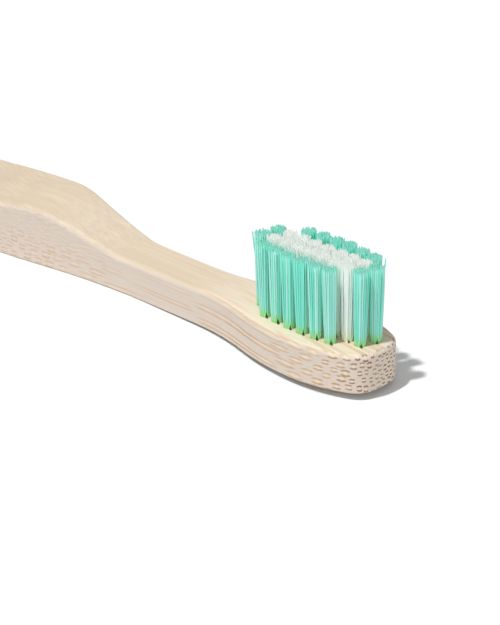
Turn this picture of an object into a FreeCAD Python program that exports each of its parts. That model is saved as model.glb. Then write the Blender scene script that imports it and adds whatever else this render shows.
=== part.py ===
"""Bamboo toothbrush: a carved bamboo handle, thirty nylon tufts and the metal anchors that hold them.

Millimetres. The brush lies on its flat underside with the bristles up: +X runs to the tip of the head,
+Y is the left side and z = 0 is the underside. The origin is midway between the butt and the tip.
"""
import FreeCAD, Part
import math
import os

import Sketcher

SIZES = {
    # Plan outline of the handle. Stations are measured back from the tip of the head.
    "overall_length": 190.0,
    "head_width": 12.4,
    "neck_width": 6.9,
    "grip_width": 13.4,
    "tip_radius": 18.0,
    "tip_corner_radius": 3.6,
    "head_side_radius": 20.0,
    "widest_station": 10.5,
    "heel_length": 19.0,
    "flare_station": 38.0,
    "flare_length": 38.0,
    # Side profile of the handle.
    "head_thickness": 5.4,
    "neck_thickness": 5.1,
    "grip_thickness": 5.8,
    "hump_height": 8.4,
    "face_length": 23.0,
    "neck_drop_length": 10.0,
    "ramp_foot_station": 43.6,
    "hump_station": 57.3,
    "grip_flat_station": 78.0,
    "ramp_foot_radius": 10.0,
    "hump_radius": 16.0,
    "grip_blend_radius": 80.0,
    "edge_round": 0.7,
    "base_round": 0.3,
    # Tuft field on the head. Inner rows are straight, outer rows bow in towards their ends.
    "field_station": 10.95,
    "outer_tuft_count": 6,
    "inner_tuft_count": 9,
    "outer_pitch": 2.2,
    "inner_pitch": 2.08,
    "inner_offset": 1.1,
    "row_spacing": 2.35,
    "outer_bow": 0.4,
    "outer_stagger": 0.8,
    "inner_stagger": 0.35,
    # One tuft in its hole.
    "hole_diameter": 1.5,
    "hole_depth": 3.4,
    "tuft_height": 10.4,
    "tuft_gap": 0.17,
    "tuft_clearance": 0.02,
    # One anchor: a flat strip across the fold, biting into the wood at both ends.
    "anchor_thickness": 0.3,
    "anchor_height": 1.6,
    "anchor_bite": 0.3,
    "anchor_angle": -35.0,
    "anchor_clearance": 0.01,
    "fold_thickness": 0.5,
}

doc = FreeCAD.newDocument("Toothbrush")

sheet = doc.addObject("Spreadsheet::Sheet", "Sizes")
for row, (alias, value) in enumerate(SIZES.items(), start=1):
    sheet.set(f"A{row}", alias)
    sheet.set(f"B{row}", str(value))
    sheet.setAlias(f"B{row}", alias)
doc.recompute()


def size(alias):
    """The value of one driving dimension, read back from the sheet."""
    return float(sheet.get(alias))


def bind(thing, **expressions):
    """Ties properties of a document object to formulas on the sheet's cells."""
    for path, formula in expressions.items():
        thing.setExpression(path.replace("__", "."), formula)


def origin_plane(body, role):
    """One of the body's own origin planes."""
    return next(plane for plane in body.Origin.OriginFeatures if plane.Role == role)


def new_sketch(body, name, role):
    """An empty sketch on one of the body's origin planes."""
    sketch = body.newObject("Sketcher::SketchObject", name)
    sketch.AttachmentSupport = [(origin_plane(body, role), "")]
    sketch.MapMode = "FlatFace"
    return sketch


START, END, CENTRE = 1, 2, 3
X_AXIS = -1


def point(x, y):
    """A point of a sketch plane."""
    return FreeCAD.Vector(x, y, 0)


def line(sketch, first, last):
    """Adds a straight edge and returns its number."""
    return sketch.addGeometry(Part.LineSegment(first, last))


def arc(sketch, first, last, centre):
    """Adds the shorter arc from first to last about a centre, and returns its number.

    Arcs run anticlockwise, so one that is walked clockwise starts at the walk's end.
    """
    from_angle = math.atan2(first.y - centre.y, first.x - centre.x)
    to_angle = math.atan2(last.y - centre.y, last.x - centre.x)
    circle = Part.Circle(centre, FreeCAD.Vector(0, 0, 1), first.distanceToPoint(centre))
    if math.sin(to_angle - from_angle) < 0:
        from_angle, to_angle = to_angle, from_angle
    return sketch.addGeometry(Part.ArcOfCircle(circle, from_angle, to_angle))


def ends_nearest(sketch, one, other):
    """The pair of ends at which two edges of a sketch meet."""
    pairs = [(a, b) for a in (START, END) for b in (START, END)]
    return min(pairs, key=lambda pair: sketch.getPoint(one, pair[0]).distanceToPoint(
        sketch.getPoint(other, pair[1])))


def join(sketch, kind, one, other):
    """Joins two edges where they meet, smoothly (Tangent) or at a corner (Coincident)."""
    end_of_one, end_of_other = ends_nearest(sketch, one, other)
    sketch.addConstraint(Sketcher.Constraint(kind, one, end_of_one, other, end_of_other))


def end_at(sketch, edge, spot):
    """Which end of an edge lies at a point."""
    return min((START, END), key=lambda end: sketch.getPoint(edge, end).distanceToPoint(spot))


def drive(sketch, formula, kind, *where, value):
    """Adds one dimension to a sketch and ties it to the sheet."""
    number = sketch.addConstraint(Sketcher.Constraint(kind, *where, value))
    sketch.setExpression(f"Constraints[{number}]", formula)


def place_x(sketch, edge, end, formula):
    """Fixes how far along the brush a point of a sketch lies."""
    drive(sketch, formula, "DistanceX", X_AXIS, START, edge, end, value=sketch.getPoint(edge, end).x)


def place_y(sketch, edge, end, formula):
    """Fixes how far from the sketch's X axis a point lies."""
    drive(sketch, formula, "DistanceY", X_AXIS, START, edge, end, value=sketch.getPoint(edge, end).y)


def fix_radius(sketch, edge, formula):
    """Ties the radius of an arc or circle to the sheet."""
    drive(sketch, formula, "Radius", edge, value=sketch.Geometry[edge].Radius)


def ogee(first, last):
    """Centres and meeting point of the two equal arcs of a smooth step between level points."""
    run = last.x - first.x
    rise = last.y - first.y
    radius = (run * run + rise * rise) / (4 * abs(rise))
    up = math.copysign(radius, rise)
    middle = (first + last) * 0.5
    return first + point(0, up), middle, last - point(0, up)


TIP = "Sizes.overall_length / 2"
BUTT = "-Sizes.overall_length / 2"
tip_x = size("overall_length") / 2
butt_x = -tip_x

# The plan outline: one half of it, from the tip round to the butt, closed along the centre line.
# Tip, corner and side arcs make the blunt head. Two smooth steps lead to the neck and to the grip.
body = doc.addObject("PartDesign::Body", "HandleBlank")
plan = new_sketch(body, "PlanOutline", "XY_Plane")

apex = point(tip_x, 0)
widest = point(tip_x - size("widest_station"), size("head_width") / 2)
neck_front = point(widest.x - size("heel_length"), size("neck_width") / 2)
neck_back = point(tip_x - size("flare_station"), size("neck_width") / 2)
grip_front = point(neck_back.x - size("flare_length"), size("grip_width") / 2)
grip_back = point(butt_x + size("grip_width") / 2, size("grip_width") / 2)
butt = point(butt_x, 0)

# The corner arc touches the tip arc and the side arc from inside, so its centre lies where two circles
# about their centres cross, each smaller than its arc by the corner's radius.
tip_centre = point(tip_x - size("tip_radius"), 0)
side_centre = widest - point(0, size("head_side_radius"))
tip_reach = size("tip_radius") - size("tip_corner_radius")
side_reach = size("head_side_radius") - size("tip_corner_radius")
spread = tip_centre - side_centre
along = (spread.Length ** 2 + side_reach ** 2 - tip_reach ** 2) / (2 * spread.Length)
across = math.sqrt(side_reach ** 2 - along ** 2)
heading = point(spread.x / spread.Length, spread.y / spread.Length)
sideways = point(-heading.y, heading.x) * across
crossings = [side_centre + heading * along + step for step in (sideways, -sideways)]
corner_centre = max(crossings, key=lambda spot: spot.x)
tip_to_corner = corner_centre - tip_centre
corner_front = tip_centre + tip_to_corner * (size("tip_radius") / tip_to_corner.Length)
side_to_corner = corner_centre - side_centre
corner_back = side_centre + side_to_corner * (size("head_side_radius") / side_to_corner.Length)

heel_first, heel_middle, heel_last = ogee(widest, neck_front)
flare_first, flare_middle, flare_last = ogee(neck_back, grip_front)

tip_arc = arc(plan, apex, corner_front, tip_centre)
corner_arc = arc(plan, corner_front, corner_back, corner_centre)
side_arc = arc(plan, corner_back, widest, side_centre)
heel_arcs = [
    arc(plan, widest, heel_middle, heel_first),
    arc(plan, heel_middle, neck_front, heel_last),
]
neck_side = line(plan, neck_front, neck_back)
flare_arcs = [
    arc(plan, neck_back, flare_middle, flare_first),
    arc(plan, flare_middle, grip_front, flare_last),
]
grip_side = line(plan, grip_front, grip_back)
butt_arc = arc(plan, grip_back, butt, point(grip_back.x, 0))
centre_line = line(plan, butt, apex)

outline = [tip_arc, corner_arc, side_arc, *heel_arcs, neck_side, *flare_arcs, grip_side, butt_arc]
for edge, following in zip(outline, outline[1:]):
    join(plan, "Tangent", edge, following)
join(plan, "Coincident", centre_line, tip_arc)
join(plan, "Coincident", butt_arc, centre_line)

for end in (START, END):
    plan.addConstraint(Sketcher.Constraint("PointOnObject", centre_line, end, X_AXIS))
for edge in (tip_arc, butt_arc):
    plan.addConstraint(Sketcher.Constraint("PointOnObject", edge, CENTRE, X_AXIS))
for edge in (neck_side, grip_side):
    plan.addConstraint(Sketcher.Constraint("Horizontal", edge))
for pair in (heel_arcs, flare_arcs):
    plan.addConstraint(Sketcher.Constraint("Equal", *pair))

place_x(plan, centre_line, START, BUTT)
place_x(plan, centre_line, END, TIP)
fix_radius(plan, tip_arc, "Sizes.tip_radius")
fix_radius(plan, corner_arc, "Sizes.tip_corner_radius")
fix_radius(plan, side_arc, "Sizes.head_side_radius")
side_end = end_at(plan, side_arc, widest)
plan.addConstraint(Sketcher.Constraint("Vertical", side_arc, CENTRE, side_arc, side_end))
place_x(plan, side_arc, side_end, f"{TIP} - Sizes.widest_station")
place_y(plan, side_arc, side_end, "Sizes.head_width / 2")
place_x(plan, neck_side, START, f"{TIP} - Sizes.widest_station - Sizes.heel_length")
place_y(plan, neck_side, START, "Sizes.neck_width / 2")
place_x(plan, neck_side, END, f"{TIP} - Sizes.flare_station")
place_x(plan, grip_side, START, f"{TIP} - Sizes.flare_station - Sizes.flare_length")
place_y(plan, grip_side, START, "Sizes.grip_width / 2")

half = body.newObject("PartDesign::Pad", "HalfBlank")
half.Profile = plan
bind(half, Length="Sizes.hump_height")
doc.recompute()

blank = body.newObject("PartDesign::Mirrored", "Blank")
blank.Originals = [half]
blank.MirrorPlane = (origin_plane(body, "XZ_Plane"), [""])
blank.Refine = True
body.Tip = blank
doc.recompute()

# The side profile: everything above it is planed off. A level face on the head drops a little to the
# neck, a ramp climbs to the thumb hump, and a long slope falls from there to the level grip.
profile = new_sketch(body, "SideProfile", "XZ_Plane")
OVERRUN = "Sizes.edge_round"
overrun = size("edge_round")

face_front = point(tip_x + overrun, size("head_thickness"))
face_back = point(tip_x - size("face_length"), size("head_thickness"))
drop_end = point(face_back.x - size("neck_drop_length"), size("neck_thickness"))
ramp_foot = point(tip_x - size("ramp_foot_station"), size("neck_thickness"))
hump = point(tip_x - size("hump_station"), size("hump_height"))
grip_flat = point(tip_x - size("grip_flat_station"), size("grip_thickness"))
grip_end = point(butt_x - overrun, size("grip_thickness"))
lid_height = size("hump_height") + overrun
drop_first, drop_middle, drop_last = ogee(face_back, drop_end)


def rounded_corner(before, corner, after, radius):
    """Start, end and centre of the arc that rounds off a corner between two straight runs."""
    back = (before - corner).normalize()
    ahead = (after - corner).normalize()
    half_angle = back.getAngle(ahead) / 2
    reach = radius / math.tan(half_angle)
    centre = corner + (back + ahead).normalize() * (radius / math.sin(half_angle))
    return corner + back * reach, corner + ahead * reach, centre


foot_front, foot_back, foot_centre = rounded_corner(drop_end, ramp_foot, hump, size("ramp_foot_radius"))
hump_front, hump_back, hump_centre = rounded_corner(ramp_foot, hump, grip_flat, size("hump_radius"))
blend_front, blend_back, blend_centre = rounded_corner(hump, grip_flat, grip_end, size("grip_blend_radius"))

face = line(profile, face_front, face_back)
drop_arcs = [
    arc(profile, face_back, drop_middle, drop_first),
    arc(profile, drop_middle, drop_end, drop_last),
]
neck_top = line(profile, drop_end, foot_front)
foot_arc = arc(profile, foot_front, foot_back, foot_centre)
ramp = line(profile, foot_back, hump_front)
hump_arc = arc(profile, hump_front, hump_back, hump_centre)
slope = line(profile, hump_back, blend_front)
blend_arc = arc(profile, blend_front, blend_back, blend_centre)
grip_top = line(profile, blend_back, grip_end)
rear_wall = line(profile, grip_end, point(grip_end.x, lid_height))
lid = line(profile, point(grip_end.x, lid_height), point(face_front.x, lid_height))
front_wall = line(profile, point(face_front.x, lid_height), face_front)

planed = [face, *drop_arcs, neck_top, foot_arc, ramp, hump_arc, slope, blend_arc, grip_top]
for edge, following in zip(planed, planed[1:]):
    join(profile, "Tangent", edge, following)
walls = [grip_top, rear_wall, lid, front_wall, face]
for edge, following in zip(walls, walls[1:]):
    join(profile, "Coincident", edge, following)
for edge in (face, neck_top, grip_top, lid):
    profile.addConstraint(Sketcher.Constraint("Horizontal", edge))
for edge in (rear_wall, front_wall):
    profile.addConstraint(Sketcher.Constraint("Vertical", edge))
profile.addConstraint(Sketcher.Constraint("Equal", *drop_arcs))

corners = {}
for name, spot, meeting in (("foot", ramp_foot, (neck_top, ramp)), ("hump", hump, (ramp, slope)),
                            ("flat", grip_flat, (slope, grip_top))):
    corners[name] = profile.addGeometry(Part.Point(spot), True)
    for edge in meeting:
        profile.addConstraint(Sketcher.Constraint("PointOnObject", corners[name], START, edge))

place_x(profile, face, START, f"{TIP} + {OVERRUN}")
place_x(profile, face, END, f"{TIP} - Sizes.face_length")
place_y(profile, face, END, "Sizes.head_thickness")
place_x(profile, neck_top, START, f"{TIP} - Sizes.face_length - Sizes.neck_drop_length")
place_y(profile, neck_top, START, "Sizes.neck_thickness")
place_x(profile, corners["foot"], START, f"{TIP} - Sizes.ramp_foot_station")
place_x(profile, corners["hump"], START, f"{TIP} - Sizes.hump_station")
place_y(profile, corners["hump"], START, "Sizes.hump_height")
place_x(profile, corners["flat"], START, f"{TIP} - Sizes.grip_flat_station")
place_x(profile, grip_top, END, f"{BUTT} - {OVERRUN}")
place_y(profile, grip_top, END, "Sizes.grip_thickness")
place_y(profile, lid, START, f"Sizes.hump_height + {OVERRUN}")
fix_radius(profile, foot_arc, "Sizes.ramp_foot_radius")
fix_radius(profile, hump_arc, "Sizes.hump_radius")
fix_radius(profile, blend_arc, "Sizes.grip_blend_radius")

planing = body.newObject("PartDesign::Pocket", "Planing")
planing.Profile = profile
planing.Type = "ThroughAll"
planing.SideType = "Symmetric"
doc.recompute()

# Every edge that runs along the brush is rounded over: the ones that the planed top and the underside
# share with the sides, the underside's less. Edges that stand upright, or cross the top from side to side,
# stay as they are.
SAME_STATION = 0.001
carved = planing
for name, radius, under in (("EdgeRounding", "Sizes.edge_round", False),
                            ("BaseRounding", "Sizes.base_round", True)):
    long_edges = []
    for number, edge in enumerate(carved.Shape.Edges, start=1):
        underside = edge.BoundBox.ZMax < SAME_STATION
        if edge.BoundBox.XLength > SAME_STATION and underside == under:
            long_edges.append(f"Edge{number}")
    rounding = body.newObject("PartDesign::Fillet", name)
    rounding.Base = (carved, long_edges)
    bind(rounding, Radius=radius)
    doc.recompute()
    carved = rounding

# The tuft field: two outer rows bowed in at their ends and two straight inner rows, staggered so that
# the field looks the same turned end for end. Tufts are counted from the tip.
tufts = []
for side, sign in (("right", -1), ("left", 1)):
    for row in ("outer", "inner"):
        count = int(size(f"{row}_tuft_count"))
        middle = (count - 1) / 2
        for index in range(count):
            steps = middle - index
            station = f"Sizes.field_station - {sign} * Sizes.{row}_stagger - {steps} * Sizes.{row}_pitch"
            offset = "Sizes.inner_offset"
            if row == "outer":
                offset += f" + Sizes.row_spacing - Sizes.outer_bow * {(steps / middle) ** 2}"
            tufts.append({
                "name": f"tuft_{side}_{row}_{index + 1}",
                "x": f"({TIP} - ({station}))",
                "y": f"({sign} * ({offset}))",
            })

HOLE_FLOOR = "(Sizes.head_thickness - Sizes.hole_depth)"
ROOT_RADIUS = "(Sizes.hole_diameter / 2 - Sizes.tuft_clearance)"
NEIGHBOUR = "min(Sizes.inner_pitch; Sizes.outer_pitch; Sizes.row_spacing - Sizes.outer_bow)"
TOP_RADIUS = f"(({NEIGHBOUR} - Sizes.tuft_gap) / 2)"
ANCHOR_FOOT = f"({HOLE_FLOOR} + Sizes.fold_thickness)"
ANCHOR_SPAN = "(Sizes.hole_diameter + 2 * Sizes.anchor_bite)"
ANCHOR_TURN = "Sizes.anchor_angle * 1 deg"


def stand(thing, tuft, height):
    """Stands a round shape on a tuft's axis at a height."""
    bind(thing, Placement__Base__x=tuft["x"], Placement__Base__y=tuft["y"], Placement__Base__z=height)


def bundle(tuft):
    """The filaments of one tuft as a closed column.

    It is straight in the hole and spreads above the face until it nearly meets its nearest neighbour.
    """
    root = doc.addObject("Part::Cylinder", f"root_{tuft['name']}")
    bind(root, Radius=ROOT_RADIUS, Height="Sizes.hole_depth - Sizes.tuft_clearance")
    stand(root, tuft, f"{HOLE_FLOOR} + Sizes.tuft_clearance")
    bristles = doc.addObject("Part::Cone", f"bristles_{tuft['name']}")
    bind(bristles, Radius1=ROOT_RADIUS, Radius2=TOP_RADIUS, Height="Sizes.tuft_height")
    stand(bristles, tuft, "Sizes.head_thickness")
    column = doc.addObject("Part::Fuse", f"bundle_{tuft['name']}")
    column.Base = root
    column.Tool = bristles
    return column


def strip(name, tuft, span, thickness, foot, height):
    """A flat upright strip across a tuft's axis, turned to the anchors' angle."""
    block = doc.addObject("Part::Box", name)
    bind(block, Length=span, Width=thickness, Height=height)
    cosine = f"cos({ANCHOR_TURN})"
    sine = f"sin({ANCHOR_TURN})"
    bind(
        block,
        Placement__Base__x=f"{tuft['x']} - {span} / 2 * {cosine} + {thickness} / 2 * {sine}",
        Placement__Base__y=f"{tuft['y']} - {span} / 2 * {sine} - {thickness} / 2 * {cosine}",
        Placement__Base__z=foot,
        Placement__Rotation__Angle=ANCHOR_TURN,
    )
    return block


def anchor(tuft):
    """The flat wire that pins a tuft's fold down and bites into the wood at both ends."""
    return strip(f"anchor_{tuft['name']}", tuft, ANCHOR_SPAN, "Sizes.anchor_thickness", ANCHOR_FOOT,
                 "Sizes.anchor_height")


def anchor_slit(tuft):
    """The slit that an anchor leaves as it is driven in, from the face down to where it stops.

    It parts the wood beside the hole and the two legs of the folded tuft alike.
    """
    span = f"({ANCHOR_SPAN} + 2 * Sizes.anchor_clearance)"
    thickness = "(Sizes.anchor_thickness + 2 * Sizes.anchor_clearance)"
    foot = f"({ANCHOR_FOOT} - Sizes.anchor_clearance)"
    return strip(f"slit_{tuft['name']}", tuft, span, thickness, foot, f"Sizes.head_thickness - {foot}")


nodes = []
anchors = []
slits = []
for tuft in tufts:
    anchors.append(anchor(tuft))
    slits.append(anchor_slit(tuft))
    node = doc.addObject("Part::Cut", tuft["name"])
    node.Base = bundle(tuft)
    node.Tool = slits[-1]
    nodes.append(node)
doc.recompute()

# The tuft holes are drilled square to the face of the head, one under each tuft.
drilling = new_sketch(body, "TuftHoles", "XY_Plane")
bind(drilling, AttachmentOffset__Base__z="Sizes.head_thickness")
holes = []
for tuft, node in zip(tufts, nodes):
    axis = node.Shape.BoundBox.Center
    circle = Part.Circle(point(axis.x, axis.y), FreeCAD.Vector(0, 0, 1), size("hole_diameter") / 2)
    holes.append(drilling.addGeometry(circle))
    place_x(drilling, holes[-1], CENTRE, tuft["x"])
    place_y(drilling, holes[-1], CENTRE, tuft["y"])
fix_radius(drilling, holes[0], "Sizes.hole_diameter / 2")
for hole in holes[1:]:
    drilling.addConstraint(Sketcher.Constraint("Equal", holes[0], hole))
drilled = body.newObject("PartDesign::Pocket", "DrilledHead")
drilled.Profile = drilling
bind(drilled, Length="Sizes.hole_depth")
body.Tip = drilled
doc.recompute()

slit_group = doc.addObject("Part::Compound", "AnchorSlits")
slit_group.Links = slits
handle = doc.addObject("Part::Cut", "handle")
handle.Base = body
handle.Tool = slit_group
nodes.append(handle)

tuft_anchors = doc.addObject("Part::Compound", "tuft_anchors")
tuft_anchors.Links = anchors
nodes.append(tuft_anchors)
doc.recompute()

# Nothing is written unless every feature was made and every cut took something away.
broken = [thing.Name for thing in doc.Objects if {"Invalid", "Error"} & set(thing.State)]
if broken:
    raise RuntimeError(f"features that failed: {broken}")
for before, after in ((blank, planing), (planing, rounding), (rounding, drilled), (drilled, handle)):
    if after.Shape.Volume >= before.Shape.Volume:
        raise RuntimeError(f"{after.Name} took nothing away")
for node in nodes:
    if node.Shape.isNull() or not node.Shape.isValid():
        raise RuntimeError(f"{node.Label} has no valid shape")

os.makedirs("parts", exist_ok=True)
for node in nodes:
    node.Shape.exportStep(f"parts/{node.Label}.step")
print(f"{len(nodes)} nodes, {sum(len(node.Shape.Solids) for node in nodes)} solids")
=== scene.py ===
"""A bamboo toothbrush lying on a white table: its carved handle, its nylon tufts and their anchors."""

import math

import bpy
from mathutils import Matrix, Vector


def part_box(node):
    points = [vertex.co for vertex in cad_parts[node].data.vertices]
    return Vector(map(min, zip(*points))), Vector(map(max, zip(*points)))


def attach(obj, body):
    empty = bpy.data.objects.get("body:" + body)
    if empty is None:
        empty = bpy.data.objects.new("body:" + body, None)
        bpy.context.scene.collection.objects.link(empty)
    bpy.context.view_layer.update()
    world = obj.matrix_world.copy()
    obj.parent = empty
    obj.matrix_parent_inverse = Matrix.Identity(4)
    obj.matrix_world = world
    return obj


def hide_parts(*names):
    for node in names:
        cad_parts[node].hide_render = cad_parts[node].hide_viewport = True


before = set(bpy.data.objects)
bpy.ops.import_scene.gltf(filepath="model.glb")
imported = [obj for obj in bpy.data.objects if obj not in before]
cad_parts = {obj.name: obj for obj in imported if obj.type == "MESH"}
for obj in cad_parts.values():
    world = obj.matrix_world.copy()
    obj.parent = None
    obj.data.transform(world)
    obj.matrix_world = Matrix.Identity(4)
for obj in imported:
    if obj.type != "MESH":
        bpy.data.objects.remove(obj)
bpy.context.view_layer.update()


# Handle
# One strip of solid bamboo, carved to a blunt head, a slim neck and a thumb hump, then sanded and left bare.
# Fibre bundles run its whole length. They show as long faint streaks where the surface follows the grain,
# and as pairs of brown crescents round a pale core where the tip cuts across it.

# The bundles, in millimetres where they are lengths
BUNDLE_PITCH = (0.95, 1.12)      # from bundle to bundle, across the strip and through its thickness
BUNDLE_RADIUS = (0.4, 0.49)      # half the breadth and half the height of one bundle
BUNDLE_GROWTH = (0.8, 1.12)      # the smallest and the largest bundle against that radius
BUNDLE_NUDGE = 0.35              # how far out of line a bundle may stand, as a share of the pitch
BUNDLE_WANDER = 1.5              # how far a bundle strays from a straight line
WANDER_REPEATS = (0.018, 0.12, 0.12)  # along, across and through the strip
CAP_RADIUS = 0.74                # middle of the two hard caps, in radii of the bundle
CAP_EDGE = (0.38, 0.12)          # to either side of that, where a cap ends and where it is full
CAP_SLANT = (0.35, 0.75)         # height over distance from the core, where a cap begins and where it is full
CORE_EDGE = (0.75, 0.2)          # where the soft core ends and where it is full, in radii of the bundle
FADE_REPEATS = 0.06              # along the strip, on which every bundle fades in and out in its own places
FADE_SHIFT = 40.0                # moves those places from one bundle to the next
FADE_EDGE, FADE_STRENGTH = (0.35, 0.6), (0.6, 1.0)

# Stretches of the brush, in millimetres from its middle towards the tip
SWEEP_SPAN = (-2.0, 52.0)        # here the neck widens, and the grain runs aslant from side to side
GRAIN_SWEEP = (-7.0, 7.0)        # across the strip, at the two ends of that span
HEAD_SPAN = (60.0, 100.0)        # the same in the head, where the grain runs out through the near side
HEAD_SWEEP = (0.0, 6.0)
BOLD_SPAN = (66.0, 88.0)         # from the paler bundles of the grip to the bold ones of the head
NECK_MIDDLE, NECK_REACH = 56.0, 24.0          # the neck is sanded most, and its marks are the faintest
NECK_STRENGTH = 0.65
FACE_LIGHT_SPAN = (62.0, 72.0)       # painted light: the face of the head is painted paler, to make up for the shade that its tufts throw on it
GRIP_SPAN, GRIP_SHARE = (55.0, -10.0), 0.8    # the wood is deeper in colour towards the rear of the grip
SKIN_SIDE = (6.0, 1.5)           # up from the underside, which lay nearest the skin: its bundles are darkest
SKIN_STRENGTH = (0.25, 0.9)

# How squarely a surface has to face the tip, the side or the sky to count as end grain, as side or as top
END_EDGE, SIDE_EDGE, TOP_EDGE = (0.1, 0.6), (0.6, 0.97), (0.7, 0.95)
CAP_SHARE = (0.6, 0.92)          # how much of the wood's colour a cap covers, on long grain and on end grain
CAP_SHARE_EDGE = (0.0, 0.5)
TOP_CAP_SHARE = 0.65             # and on the sanded top, against the sides
CORE_SHARE = (0.2, 0.6)          # how much a core pales the wood, in the grip and in the head

# Fine fibre between the bundles
FIBRE_REPEATS, FIBRE_DETAIL = (0.05, 5.5, 5.5), 3.0
FIBRE_EDGE, FIBRE_SHADE = (0.25, 0.75), (0.94, 1.05)
FIBRE_ROUGHNESS = (0.5, 0.66)
TONE_REPEATS = (0.012, 0.3, 0.3)
MIDDLING = (0.3, 0.7)            # the part of its range that a noise mostly keeps to
CAP_RELIEF = 0.6                 # how far a cap stands up, against the fibre
GRAIN_DEPTH, GRAIN_STRENGTH = 0.00004, 0.3
SANDED_GLOSS = 0.35


def place(tree, kind, inputs=None, **settings):
    """A new node. An input is a plain value or the output of another node."""
    node = tree.nodes.new(kind)
    for name, value in settings.items():
        setattr(node, name, value)
    for key, value in (inputs or {}).items():
        if isinstance(value, bpy.types.NodeSocket):
            tree.links.new(value, node.inputs[key])
        else:
            node.inputs[key].default_value = value
    return node


def calc(tree, operation, *terms):
    return place(tree, "ShaderNodeMath", dict(enumerate(terms)), operation=operation).outputs[0]


def vector(tree, operation, *terms):
    return place(tree, "ShaderNodeVectorMath", dict(enumerate(terms)), operation=operation).outputs[0]


def scaled(tree, value, factor):
    return place(tree, "ShaderNodeVectorMath", {0: value, 3: factor}, operation="SCALE").outputs[0]


def joined(tree, x, y, z):
    return place(tree, "ShaderNodeCombineXYZ", {0: x, 1: y, 2: z}).outputs[0]


def parts_of(tree, value):
    return place(tree, "ShaderNodeSeparateXYZ", {0: value}).outputs


def ramp(tree, value, low, high, at_low=0.0, at_high=1.0):
    """A smooth step from one value to another as the input goes from low to high."""
    return place(tree, "ShaderNodeMapRange", {0: value, 1: low, 2: high, 3: at_low, 4: at_high},
                 interpolation_type="SMOOTHSTEP").outputs[0]


def noise(tree, position, repeats, detail=2.0):
    """Noise with its own number of repeats per millimetre along each axis."""
    stretched = place(tree, "ShaderNodeMapping", {"Vector": position, "Scale": repeats}).outputs[0]
    return place(tree, "ShaderNodeTexNoise", {"Vector": stretched, "Scale": 1.0, "Detail": detail}).outputs


def blend(tree, share, first, second, kind="MIX"):
    return place(tree, "ShaderNodeMix", {0: share, 6: first, 7: second},
                 data_type="RGBA", blend_type=kind).outputs[2]


def paint(red, green, blue):
    """A colour as a paint chart gives it, 0 to 255, in the linear values that shaders take."""
    linear = [(c / 255 / 12.92) if c < 10 else ((c / 255 + 0.055) / 1.055) ** 2.4 for c in (red, green, blue)]
    return (*linear, 1.0)


def new_material(name):
    material = bpy.data.materials.new(name)
    material.use_nodes = True
    return material, material.node_tree, material.node_tree.nodes["Principled BSDF"]


def millimetres(tree):
    coordinates = place(tree, "ShaderNodeTexCoord").outputs["Object"]
    return scaled(tree, coordinates, 1000.0)


FLESH_DEEP, FLESH_PALE = paint(222, 203, 177), paint(232, 215, 190)
GRIP_FLESH = paint(209, 189, 163)
# The face of the head gets a paler colour as painted light, against the shade that its tufts throw on it.
FACE_PAINTED_LIGHT = paint(238, 219, 197)
# The sides get a greyer copy of the wood's colour as painted light, lightened to make up for the light that
# the sides get less of.
SIDE_PAINTED_LIGHT = paint(226, 212, 198)
END_FLESH = paint(230, 215, 200)
CORE_COLOUR = paint(246, 228, 196)
CAP_ALONG, CAP_ACROSS = paint(208, 150, 94), paint(148, 98, 67)

bamboo, wood, bamboo_surface = new_material("bamboo")
at = millimetres(wood)

# Where a point lies in its bundle: the bundles stand in staggered rows through the strip, one to a cell.
wander = vector(wood, "SUBTRACT", noise(wood, at, WANDER_REPEATS)["Color"], (0.5, 0.5, 0.5))
along, straight_across, through = parts_of(wood, vector(wood, "ADD", at, scaled(wood, wander, BUNDLE_WANDER)))
sweep = calc(wood, "ADD", ramp(wood, along, *SWEEP_SPAN, *GRAIN_SWEEP),
             ramp(wood, along, *HEAD_SPAN, *HEAD_SWEEP))
across = calc(wood, "ADD", straight_across, sweep)
row_place = calc(wood, "DIVIDE", through, BUNDLE_PITCH[1])
row = calc(wood, "FLOOR", row_place)
stagger = calc(wood, "MULTIPLY", calc(wood, "FLOORED_MODULO", row, 2.0), 0.5)
column_place = calc(wood, "ADD", calc(wood, "DIVIDE", across, BUNDLE_PITCH[0]), stagger)
column = calc(wood, "FLOOR", column_place)
chances = place(wood, "ShaderNodeTexWhiteNoise", {"Vector": joined(wood, column, row, 0.0)},
                noise_dimensions="2D")
chance, other_chance, third_chance = parts_of(wood, chances.outputs["Color"])


def off_centre(place_in_line, cell, nudge, pitch, radius):
    """Distance from the middle of a bundle that is nudged a little out of line, in radii of that bundle."""
    from_middle = calc(wood, "SUBTRACT", calc(wood, "SUBTRACT", place_in_line, cell), 0.5)
    nudged = calc(wood, "MULTIPLY_ADD", calc(wood, "SUBTRACT", nudge, 0.5), BUNDLE_NUDGE, from_middle)
    return calc(wood, "DIVIDE", calc(wood, "MULTIPLY", nudged, pitch / radius), growth)


growth = ramp(wood, third_chance, 0.0, 1.0, *BUNDLE_GROWTH)
in_breadth = off_centre(column_place, column, chance, BUNDLE_PITCH[0], BUNDLE_RADIUS[0])
in_height = off_centre(row_place, row, other_chance, BUNDLE_PITCH[1], BUNDLE_RADIUS[1])
from_core = place(wood, "ShaderNodeVectorMath", {0: joined(wood, in_breadth, in_height, 0.0)},
                  operation="LENGTH").outputs["Value"]

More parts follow.
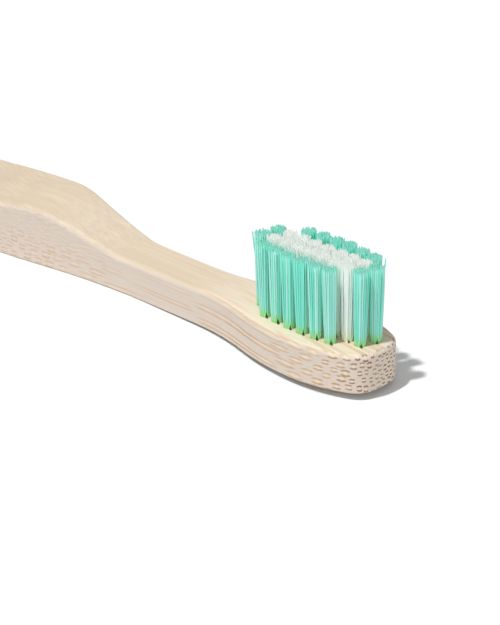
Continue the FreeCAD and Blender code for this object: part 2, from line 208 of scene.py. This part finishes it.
# Each bundle has a cap of hard fibre above and below a soft pale core, and fades in and out along the strip.
ring = ramp(wood, calc(wood, "ABSOLUTE", calc(wood, "SUBTRACT", from_core, CAP_RADIUS)), *CAP_EDGE)
above_zero = calc(wood, "ADD", from_core, 0.001)
slant = calc(wood, "DIVIDE", calc(wood, "ABSOLUTE", in_height), above_zero)
fading = noise(wood, joined(wood, calc(wood, "MULTIPLY", along, FADE_REPEATS),
                            calc(wood, "MULTIPLY", chance, FADE_SHIFT),
                            calc(wood, "MULTIPLY", other_chance, FADE_SHIFT)), (1.0, 1.0, 1.0))["Fac"]
bold = ramp(wood, along, *BOLD_SPAN)
skinward = ramp(wood, through, *SKIN_SIDE, *SKIN_STRENGTH)
strength = calc(wood, "MULTIPLY_ADD", bold, calc(wood, "SUBTRACT", 1.0, skinward), skinward)
from_neck = calc(wood, "ABSOLUTE", calc(wood, "SUBTRACT", along, NECK_MIDDLE))
strength = calc(wood, "MULTIPLY", strength, ramp(wood, from_neck, 0.0, NECK_REACH, NECK_STRENGTH, 1.0))
vigour = calc(wood, "MULTIPLY", ramp(wood, fading, *FADE_EDGE, *FADE_STRENGTH), strength)
cap = calc(wood, "MULTIPLY", calc(wood, "MULTIPLY", ring, ramp(wood, slant, *CAP_SLANT)), vigour)
core = ramp(wood, from_core, *CORE_EDGE)

# The cut ends of the fibres drink in more light than their sides, so the blunt tip has the strongest marks.
facing = parts_of(wood, place(wood, "ShaderNodeTexCoord").outputs["Normal"])
end_grain = ramp(wood, calc(wood, "ABSOLUTE", facing[0]), *END_EDGE)
sideways = ramp(wood, calc(wood, "ABSOLUTE", facing[1]), *SIDE_EDGE)
upward = ramp(wood, facing[2], *TOP_EDGE)

fibre = noise(wood, at, FIBRE_REPEATS, FIBRE_DETAIL)["Fac"]
tone = noise(wood, at, TONE_REPEATS)["Fac"]
flesh = blend(wood, ramp(wood, tone, *MIDDLING), FLESH_DEEP, FLESH_PALE)
# Painted light in this list: the paler face of the head makes up for the shade of its tufts, and the side
# colour for the light that the sides get less of.
for share, colour in ((ramp(wood, along, *GRIP_SPAN, 0.0, GRIP_SHARE), GRIP_FLESH),
                      (calc(wood, "MULTIPLY", upward, ramp(wood, along, *FACE_LIGHT_SPAN)), FACE_PAINTED_LIGHT),
                      (sideways, SIDE_PAINTED_LIGHT),
                      (end_grain, END_FLESH),
                      (calc(wood, "MULTIPLY", core, ramp(wood, bold, 0.0, 1.0, *CORE_SHARE)), CORE_COLOUR)):
    flesh = blend(wood, share, flesh, colour)
cap_share = calc(wood, "MULTIPLY", ramp(wood, end_grain, *CAP_SHARE_EDGE, *CAP_SHARE),
                 ramp(wood, upward, 0.0, 1.0, 1.0, TOP_CAP_SHARE))
cap_colour = blend(wood, end_grain, CAP_ALONG, CAP_ACROSS)
marked = blend(wood, calc(wood, "MULTIPLY", cap, cap_share), flesh, cap_colour)
fibre_shade = ramp(wood, fibre, *FIBRE_EDGE, *FIBRE_SHADE)
wood_colour = blend(wood, 1.0, marked, joined(wood, fibre_shade, fibre_shade, fibre_shade), "MULTIPLY")

relief = calc(wood, "ADD", fibre, calc(wood, "MULTIPLY", cap, CAP_RELIEF))
grain_bump = place(wood, "ShaderNodeBump",
                   {"Strength": GRAIN_STRENGTH, "Distance": GRAIN_DEPTH, "Height": relief}).outputs[0]
wood.links.new(wood_colour, bamboo_surface.inputs["Base Color"])
wood.links.new(ramp(wood, fibre, *MIDDLING, *FIBRE_ROUGHNESS), bamboo_surface.inputs["Roughness"])
wood.links.new(grain_bump, bamboo_surface.inputs["Normal"])
bamboo_surface.inputs["Specular IOR Level"].default_value = SANDED_GLOSS

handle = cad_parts["handle"]
handle.data.materials.clear()
handle.data.materials.append(bamboo)


# Tuft anchors
# Short cuttings of flat drawn wire, one driven across each folded tuft until it bites into the wood at both
# ends. They sit below the face of the head, and only their top edges show down the slits.

ANCHOR_ANGLE = math.radians(-35.0)  # across the head, the way every anchor lies
DIE_REPEATS = (0.6, 14.0, 14.0)  # per millimetre along and across the wire
DIE_DETAIL = 3.0
WIRE_ROUGHNESS = (0.28, 0.48)
DIE_DEPTH, DIE_STRENGTH = 0.00001, 0.3
WIRE_DULL, WIRE_BRIGHT = paint(150, 146, 138), paint(196, 193, 186)

anchor_wire, wire, wire_surface = new_material("anchor_wire")
turned = place(wire, "ShaderNodeMapping",
               {"Vector": millimetres(wire), "Rotation": (0.0, 0.0, -ANCHOR_ANGLE)}).outputs[0]
die_lines = noise(wire, turned, DIE_REPEATS, DIE_DETAIL)["Fac"]
wire_colour = blend(wire, ramp(wire, die_lines, *MIDDLING), WIRE_DULL, WIRE_BRIGHT)
die_bump = place(wire, "ShaderNodeBump",
                 {"Strength": DIE_STRENGTH, "Distance": DIE_DEPTH, "Height": die_lines}).outputs[0]
wire.links.new(wire_colour, wire_surface.inputs["Base Color"])
wire.links.new(ramp(wire, die_lines, *MIDDLING, *WIRE_ROUGHNESS), wire_surface.inputs["Roughness"])
wire.links.new(die_bump, wire_surface.inputs["Normal"])
wire_surface.inputs["Metallic"].default_value = 1.0

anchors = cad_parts["tuft_anchors"]
anchors.data.materials.clear()
anchors.data.materials.append(anchor_wire)


# Tufts
# Bundles of nylon filament, mint green round the outside and clear white down the middle. Each filament is
# folded double over the anchor in its hole, so that both its ends stand up as bristles. The brush is trimmed
# level after tufting, and the cut ends are ground round.

FACE = 0.0054                    # height of the face that the holes are drilled in
BRISTLE_HEIGHT = 0.0104
FOLD_DEPTH = 0.0033              # from the face down to the fold
FILAMENTS = 36                   # folded filaments in one tuft
FILAMENT_DIAMETER = 0.00018
FILAMENT_SIDES = 6
HOLE_DIAMETER = 0.0015
HOLE_FIT = 0.98                  # share of the hole that the filaments fill
CROWN_DIAMETER = {"outer": 0.00206, "inner": 0.00222}
PARTING = 0.00018                # half the gap that the anchor leaves between the two legs at the mouth
SPLAY = 0.0001                   # how far a bristle strays at its tip
FLARE = 0.5                      # below 1, a tuft opens quickly above its hole, then stands nearly straight
TRIM = {"outer": 0.0004, "inner": 0.00025}  # how much shorter the shortest bristle is
NO_STRAY = (0.0, 0.0, 0.0)
OUTWARD_LEAN = 0.0003            # how far the outer rows lean off the head at their crowns
RISES = (0.09, 0.6, 0.985, 1.0)  # heights of a bristle's points above the face, as shares of its length
SUNK = 2                         # points of one leg below the face: at the fold and half-way up
HALF = len(RISES) + SUNK         # points from the fold, past the mouth, to one tip
STATIONS = 2 * HALF + 1
TIP_BLUNTNESS = 0.5              # width of the ground end against the filament's
FILAMENT_STEP = 0.618034         # turn from one filament's seat to the next, so that they never line up
TUFT_STEP = 0.754878             # and from one tuft to the next, so that no two look the same
INNER_ROW = 9                    # tufts in an inner row: its first and last are green
WOOD_LIGHT_SHARE = 0.16                # of a bristle's length, where the painted light from the wood, tinting its lowest part, has run out
TIP_FROM, TIP_SHARE = 0.95, 0.7  # where the tops of the bristles start to take a greyer colour, and how far it goes
NYLON_ROUGHNESS = (0.3, 0.45)
NYLON_IOR = 1.53

filament_tone = bpy.data.node_groups.new("Filament tone", "ShaderNodeTree")
for socket, kind in (("Strand", "Float"), ("Rise", "Float"), ("Deep", "Color"), ("Bright", "Color"),
                     ("Foot", "Color"), ("Tip", "Color")):
    filament_tone.interface.new_socket(socket, in_out="INPUT", socket_type=f"NodeSocket{kind}")
filament_tone.interface.new_socket("Colour", in_out="OUTPUT", socket_type="NodeSocketColor")
given = place(filament_tone, "NodeGroupInput").outputs
body = blend(filament_tone, ramp(filament_tone, given["Strand"], 0.0, 1.0), given["Deep"], given["Bright"])
# Painted light: the lowest part of each bristle takes the warm, yellow-green light that the wood throws back.
with_wood_light = blend(filament_tone, ramp(filament_tone, given["Rise"], 0.0, WOOD_LIGHT_SHARE), given["Foot"], body)
tip_share = ramp(filament_tone, given["Rise"], TIP_FROM, 1.0, 0.0, TIP_SHARE)
with_tip = blend(filament_tone, tip_share, with_wood_light, given["Tip"])
place(filament_tone, "NodeGroupOutput", {"Colour": with_tip})


def nylon(name, deep, bright, foot_wood_light, tip):
    """Drawn nylon, a little different from strand to strand, with painted light from the wood tinting the
    lowest part of each bristle.
    """
    material, tree, surface = new_material(name)
    strand = place(tree, "ShaderNodeAttribute", attribute_name="strand").outputs["Fac"]
    height = parts_of(tree, millimetres(tree))[2]
    rise = place(tree, "ShaderNodeMapRange",
                 {0: height, 1: FACE * 1000, 2: (FACE + BRISTLE_HEIGHT) * 1000}).outputs[0]
    group = place(tree, "ShaderNodeGroup", node_tree=filament_tone)
    for socket, value in (("Strand", strand), ("Rise", rise)):
        tree.links.new(value, group.inputs[socket])
    for socket, value in (("Deep", deep), ("Bright", bright), ("Foot", foot_wood_light), ("Tip", tip)):
        group.inputs[socket].default_value = value
    tree.links.new(group.outputs["Colour"], surface.inputs["Base Color"])
    tree.links.new(ramp(tree, strand, 0.0, 1.0, *NYLON_ROUGHNESS), surface.inputs["Roughness"])
    surface.inputs["IOR"].default_value = NYLON_IOR
    return material


# The third colour of each nylon is painted light from the wood, on the lowest part of the bristles.
green_nylon = nylon("green_nylon", deep=paint(126, 243, 222), bright=paint(196, 251, 242),
                    foot_wood_light=paint(168, 238, 160), tip=paint(160, 226, 212))
white_nylon = nylon("white_nylon", deep=paint(248, 254, 250), bright=paint(253, 255, 253),
                    foot_wood_light=paint(238, 248, 222), tip=paint(245, 247, 242))

tuft_tree = bpy.data.node_groups.new("Tuft", "GeometryNodeTree")
for socket, kind in (("Foot", "Vector"), ("Filaments", "Int"), ("Filament Diameter", "Float"),
                     ("Hole Diameter", "Float"), ("Crown Diameter", "Float"), ("Fold Depth", "Float"),
                     ("Bristle Height", "Float"), ("Parting", "Float"), ("Anchor Angle", "Float"),
                     ("Splay", "Float"), ("Flare", "Float"), ("Trim", "Float"), ("Lean", "Vector"),
                     ("Stray", "Vector"), ("Seed", "Int"), ("Nylon", "Material")):
    tuft_tree.interface.new_socket(socket, in_out="INPUT", socket_type=f"NodeSocket{kind}")
tuft_tree.interface.new_socket("Geometry", in_out="OUTPUT", socket_type="NodeSocketGeometry")
size = place(tuft_tree, "NodeGroupInput").outputs


def tuft(operation, *terms):
    return calc(tuft_tree, operation, *terms)


def mixed(share, low, high):
    return tuft("MULTIPLY_ADD", share, tuft("SUBTRACT", high, low), low)


def draw(ident, salt):
    """A number from 0 to 1 for each bristle, fixed by the tuft's seed."""
    seed = tuft("MULTIPLY_ADD", size["Seed"], 10.0, float(salt))
    return place(tuft_tree, "FunctionNodeRandomValue", {"ID": ident, "Seed": seed}).outputs[1]


# Which filament a point belongs to, and how far it is from the fold.
index = place(tuft_tree, "GeometryNodeInputIndex").outputs[0]
filament = tuft("FLOOR", tuft("DIVIDE", tuft("ADD", index, 0.5), float(STATIONS)))
from_fold = tuft("SUBTRACT", tuft("MULTIPLY_ADD", filament, -float(STATIONS), index), float(HALF))
leg = tuft("SIGN", from_fold)
step = tuft("ABSOLUTE", from_fold)
bristle = tuft("MULTIPLY_ADD", filament, 2.0, tuft("GREATER_THAN", from_fold, 0.0))

# Heights: a short ground end, a long shank above the face, and the legs down past the anchor to the fold.
rise = 0.0
for passed, (lower, upper) in enumerate(zip((0.0, *RISES), RISES)):
    beyond = tuft("MAXIMUM", tuft("MINIMUM", tuft("SUBTRACT", step, float(SUNK + passed)), 1.0), 0.0)
    rise = tuft("MULTIPLY_ADD", beyond, upper - lower, rise)
up_the_leg = tuft("DIVIDE", tuft("MINIMUM", step, float(SUNK)), float(SUNK))
sunk = tuft("SUBTRACT", 1.0, tuft("POWER", up_the_leg, 3.0))
short = tuft("MULTIPLY", tuft("POWER", draw(bristle, 1), 2.0), size["Trim"])
height = tuft("SUBTRACT", tuft("MULTIPLY", tuft("SUBTRACT", size["Bristle Height"], short), rise),
              tuft("MULTIPLY", size["Fold Depth"], sunk))

# Seats: one leg each side of the anchor, spread evenly over half the hole.
seat_radius = tuft("SQRT", tuft("DIVIDE", tuft("ADD", filament, 0.5), size["Filaments"]))
tuft_turn = tuft("MULTIPLY", size["Seed"], TUFT_STEP)
seat_turn = tuft("MULTIPLY", math.pi, tuft("FRACT", tuft("MULTIPLY_ADD", filament, FILAMENT_STEP, tuft_turn)))
seat_along = tuft("MULTIPLY", seat_radius, tuft("COSINE", seat_turn))
seat_across = tuft("MULTIPLY", seat_radius, tuft("SINE", seat_turn))
mouth = tuft("MULTIPLY", tuft("SUBTRACT", size["Hole Diameter"], size["Filament Diameter"]), HOLE_FIT / 2)
crown = tuft("MULTIPLY", tuft("SUBTRACT", size["Crown Diameter"], size["Filament Diameter"]), 0.5)
reach = mixed(tuft("POWER", rise, size["Flare"]), mouth, crown)
x = tuft("MULTIPLY", seat_along, reach)
closed = tuft("MINIMUM", tuft("DIVIDE", rise, RISES[0]), 1.0)
parted = mixed(seat_across, mixed(closed, size["Parting"], 0.0), reach)
y = tuft("MULTIPLY", leg, parted)
upright = place(tuft_tree, "ShaderNodeVectorRotate",
                {"Vector": joined(tuft_tree, x, y, height), "Angle": size["Anchor Angle"]},
                rotation_type="Z_AXIS").outputs[0]

# Bends: the whole tuft leans a little, every bristle strays a little more, and one may stand out alone.
sway = tuft("MULTIPLY", tuft("MULTIPLY", rise, rise), size["Splay"])
strays = joined(tuft_tree, tuft("MULTIPLY", mixed(draw(bristle, 3), -1.0, 1.0), sway),
                tuft("MULTIPLY", mixed(draw(bristle, 4), -1.0, 1.0), sway), 0.0)
last = tuft("COMPARE", bristle, tuft("MULTIPLY_ADD", size["Filaments"], 2.0, -1.0), 0.5)
strayed = place(tuft_tree, "ShaderNodeVectorMath", {0: size["Stray"]}, operation="LENGTH").outputs["Value"]
loner = tuft("MULTIPLY", rise, tuft("MULTIPLY", last, tuft("GREATER_THAN", strayed, 0.0)))
in_place = tuft("SUBTRACT", 1.0, loner)
kept_seat = vector(tuft_tree, "MULTIPLY", upright, joined(tuft_tree, in_place, in_place, 1.0))
leaning = vector(tuft_tree, "ADD", scaled(tuft_tree, size["Lean"], rise),
                 vector(tuft_tree, "ADD", strays, scaled(tuft_tree, size["Stray"], loner)))
spot = vector(tuft_tree, "ADD", size["Foot"], vector(tuft_tree, "ADD", kept_seat, leaning))

points = place(tuft_tree, "GeometryNodePoints",
               {"Count": tuft("MULTIPLY", size["Filaments"], float(STATIONS)), "Position": spot}).outputs[0]
girth = tuft("SUBTRACT", 1.0, tuft("MULTIPLY", tuft("GREATER_THAN", step, HALF - 0.5), 1.0 - TIP_BLUNTNESS))
for label, value in (("strand", draw(bristle, 5)), ("girth", girth)):
    points = place(tuft_tree, "GeometryNodeStoreNamedAttribute",
                   {"Geometry": points, "Name": label, "Value": value},
                   data_type="FLOAT", domain="POINT").outputs[0]
lines = place(tuft_tree, "GeometryNodePointsToCurves",
              {"Points": points, "Curve Group ID": filament}).outputs[0]
poly = place(tuft_tree, "GeometryNodeCurveSplineType", {"Curve": lines}, spline_type="POLY").outputs[0]
filament_radius = tuft("MULTIPLY", size["Filament Diameter"], 0.5)
profile = place(tuft_tree, "GeometryNodeCurvePrimitiveCircle",
                {"Resolution": FILAMENT_SIDES, "Radius": filament_radius}).outputs[0]
kept_girth = place(tuft_tree, "GeometryNodeInputNamedAttribute", {"Name": "girth"},
                   data_type="FLOAT").outputs[0]
tubes = place(tuft_tree, "GeometryNodeCurveToMesh",
              {"Curve": poly, "Profile Curve": profile, "Scale": kept_girth, "Fill Caps": True}).outputs[0]
smooth = place(tuft_tree, "GeometryNodeSetShadeSmooth", {"Geometry": tubes}).outputs[0]
solid = place(tuft_tree, "GeometryNodeRealizeInstances", {"Geometry": smooth}).outputs[0]
dressed = place(tuft_tree, "GeometryNodeSetMaterial",
                {"Geometry": solid, "Material": size["Nylon"]}).outputs[0]
place(tuft_tree, "NodeGroupOutput", {"Geometry": dressed})

socket_of = {item.name: item.identifier for item in tuft_tree.interface.items_tree if item.in_out == "INPUT"}
stray_of = {"tuft_right_inner_9": (-0.00095, -0.00085, 0.0), "tuft_left_outer_1": (0.0012, 0.0008, 0.0)}
tuft_nodes = sorted(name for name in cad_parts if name.startswith("tuft_") and name != "tuft_anchors")

for seed, node in enumerate(tuft_nodes):
    _, side, row, number = node.split("_")
    green = row == "outer" or int(number) in (1, INNER_ROW)
    low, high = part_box(node)
    lean = math.copysign(OUTWARD_LEAN, low.y) if row == "outer" else 0.0
    sizes = {"Foot": ((low.x + high.x) / 2, (low.y + high.y) / 2, FACE), "Filaments": FILAMENTS,
             "Filament Diameter": FILAMENT_DIAMETER, "Hole Diameter": HOLE_DIAMETER,
             "Crown Diameter": CROWN_DIAMETER[row], "Fold Depth": FOLD_DEPTH,
             "Bristle Height": BRISTLE_HEIGHT, "Parting": PARTING, "Anchor Angle": ANCHOR_ANGLE,
             "Splay": SPLAY, "Flare": FLARE, "Trim": TRIM[row], "Lean": (0.0, lean, 0.0),
             "Stray": stray_of.get(node, NO_STRAY), "Seed": seed,
             "Nylon": green_nylon if green else white_nylon}
    name = f"bristles_{side}_{row}_{number}"
    piece = bpy.data.objects.new(name, bpy.data.meshes.new(name))
    bpy.context.scene.collection.objects.link(piece)
    maker = piece.modifiers.new("Tuft", "NODES")
    maker.node_group = tuft_tree
    for socket, value in sizes.items():
        maker[socket_of[socket]] = value
    depsgraph = bpy.context.evaluated_depsgraph_get()
    finished = bpy.data.meshes.new_from_object(piece.evaluated_get(depsgraph),
                                               preserve_all_data_layers=True, depsgraph=depsgraph)
    piece.modifiers.clear()
    piece.data = finished
    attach(piece, "root")
    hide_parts(node)


# Table and light
# A plain white table under one small bright lamp, high on the near side, with a broad reflector low in front
# and white walls all round. The grip lies flat, and the table falls away a little under the head, which
# stands about a millimetre clear of it over a painted shade, cool and darker where the brush comes close.

WHITE = (1.0, 1.0, 1.0, 1.0)
TABLE_REACH = 2.0
TABLE_COLOUR = paint(228, 228, 228)  # what it throws back on the brush; the camera sees it white
PAINTED_CONTACT_SHADE = (0.7, 0.82, 0.92, 1.0)  # painted shade, cool and darker, on the table where the brush comes close; it takes the wood's warm light out of the narrow gap under the head
PAINTED_SHADE_REACH = 0.006            # how far from the table the brush still counts as close
PAINTED_SHADE_EDGE = (0.15, 0.65)      # share of open sky over the table, from a full painted shade to none
PAINTED_SHADE_SAMPLES = 6
TABLE_BEND = 0.054               # where the table starts to fall away, along the brush
TABLE_FALL = 0.95 / 41.0         # slope past there
LAMP_TRAVEL = Vector((0.127, 0.365, -1.0))
LAMP_STRENGTH = 2.25
LAMP_BREADTH = math.radians(3.0)
FILL_TRAVEL = Vector((-0.76, 0.57, -0.36))
FILL_STRENGTH = 0.68
FILL_BREADTH = math.radians(60.0)
SKY_STRENGTH = 0.3
SKY_COLOUR = (0.95, 0.98, 1.0, 1.0)


def looked_at(tree):
    """1 where something is looked at, straight, mirrored or through glass, and 0 where light only bounces."""
    rays = place(tree, "ShaderNodeLightPath").outputs
    return calc(tree, "MAXIMUM", rays["Is Camera Ray"],
                calc(tree, "MAXIMUM", rays["Is Glossy Ray"], rays["Is Transmission Ray"]))


table_mesh = bpy.data.meshes.new("table")
drop = -TABLE_FALL * (TABLE_REACH - TABLE_BEND)
corners = [(-TABLE_REACH, 0.0), (TABLE_BEND, 0.0), (TABLE_REACH, drop)]
table_mesh.from_pydata([(x, y, z) for x, z in corners for y in (-TABLE_REACH, TABLE_REACH)], [],
                       [(0, 2, 3, 1), (2, 4, 5, 3)])
table = bpy.data.objects.new("table", table_mesh)
bpy.context.scene.collection.objects.link(table)
white_table, top, table_surface = new_material("white_table")
# Painted shade: where the brush closes off the sky over the table, the table's seen colour is darkened and
# cooled.
openness = place(top, "ShaderNodeAmbientOcclusion", {"Distance": PAINTED_SHADE_REACH},
                 samples=PAINTED_SHADE_SAMPLES).outputs["AO"]
table_white_and_painted_shade = blend(top, ramp(top, openness, *PAINTED_SHADE_EDGE), PAINTED_CONTACT_SHADE, WHITE)
table_colour = blend(top, looked_at(top), TABLE_COLOUR, table_white_and_painted_shade)
top.links.new(table_colour, table_surface.inputs["Base Color"])
table_surface.inputs["Roughness"].default_value = 1.0
table_surface.inputs["Specular IOR Level"].default_value = 0.0
table_mesh.materials.append(white_table)

for name, strength, breadth, travel in (("lamp", LAMP_STRENGTH, LAMP_BREADTH, LAMP_TRAVEL),
                                        ("reflector", FILL_STRENGTH, FILL_BREADTH, FILL_TRAVEL)):
    light = bpy.data.lights.new(name, "SUN")
    light.energy, light.angle = strength, breadth
    lamp = bpy.data.objects.new(name, light)
    lamp.rotation_euler = (-travel).to_track_quat("Z", "Y").to_euler()
    bpy.context.scene.collection.objects.link(lamp)

room = bpy.data.worlds.new("room")
room.use_nodes = True
bpy.context.scene.world = room
walls = room.node_tree
seen = looked_at(walls)
glow = walls.nodes["Background"].inputs
walls.links.new(blend(walls, seen, SKY_COLOUR, WHITE), glow["Color"])
walls.links.new(ramp(walls, seen, 0.0, 1.0, SKY_STRENGTH, 1.0), glow["Strength"])


# Camera
# A long lens a little way in front of the tip and to the near side, looking down along the brush, so that the
# tufts fill the middle of the picture and the rear of the grip runs out of it.

LENS = 184.43
SENSOR = 36.0
AIM = Vector((0.068544, 0.003905, 0.0))
DISTANCE = 0.42117
AZIMUTH, ELEVATION = math.radians(42.92), math.radians(26.762)
NEAREST, FARTHEST = 0.01, 20.0
BOUNCES, ALL_BOUNCES = 16, 20    # light goes many times between pale bristles before it comes out

camera_data = bpy.data.cameras.new("camera")
camera_data.lens = LENS
camera_data.sensor_width = SENSOR
camera_data.clip_start, camera_data.clip_end = NEAREST, FARTHEST
camera = bpy.data.objects.new("camera", camera_data)
back = Vector((math.sin(AZIMUTH) * math.cos(ELEVATION), -math.cos(AZIMUTH) * math.cos(ELEVATION),
               math.sin(ELEVATION)))
camera.location = AIM + back * DISTANCE
camera.rotation_euler = (-back).to_track_quat("-Z", "Y").to_euler()
bpy.context.scene.collection.objects.link(camera)
bpy.context.scene.camera = camera
bpy.context.scene.view_settings.view_transform = "Standard"
bpy.context.scene.cycles.diffuse_bounces = BOUNCES
bpy.context.scene.cycles.max_bounces = ALL_BOUNCES
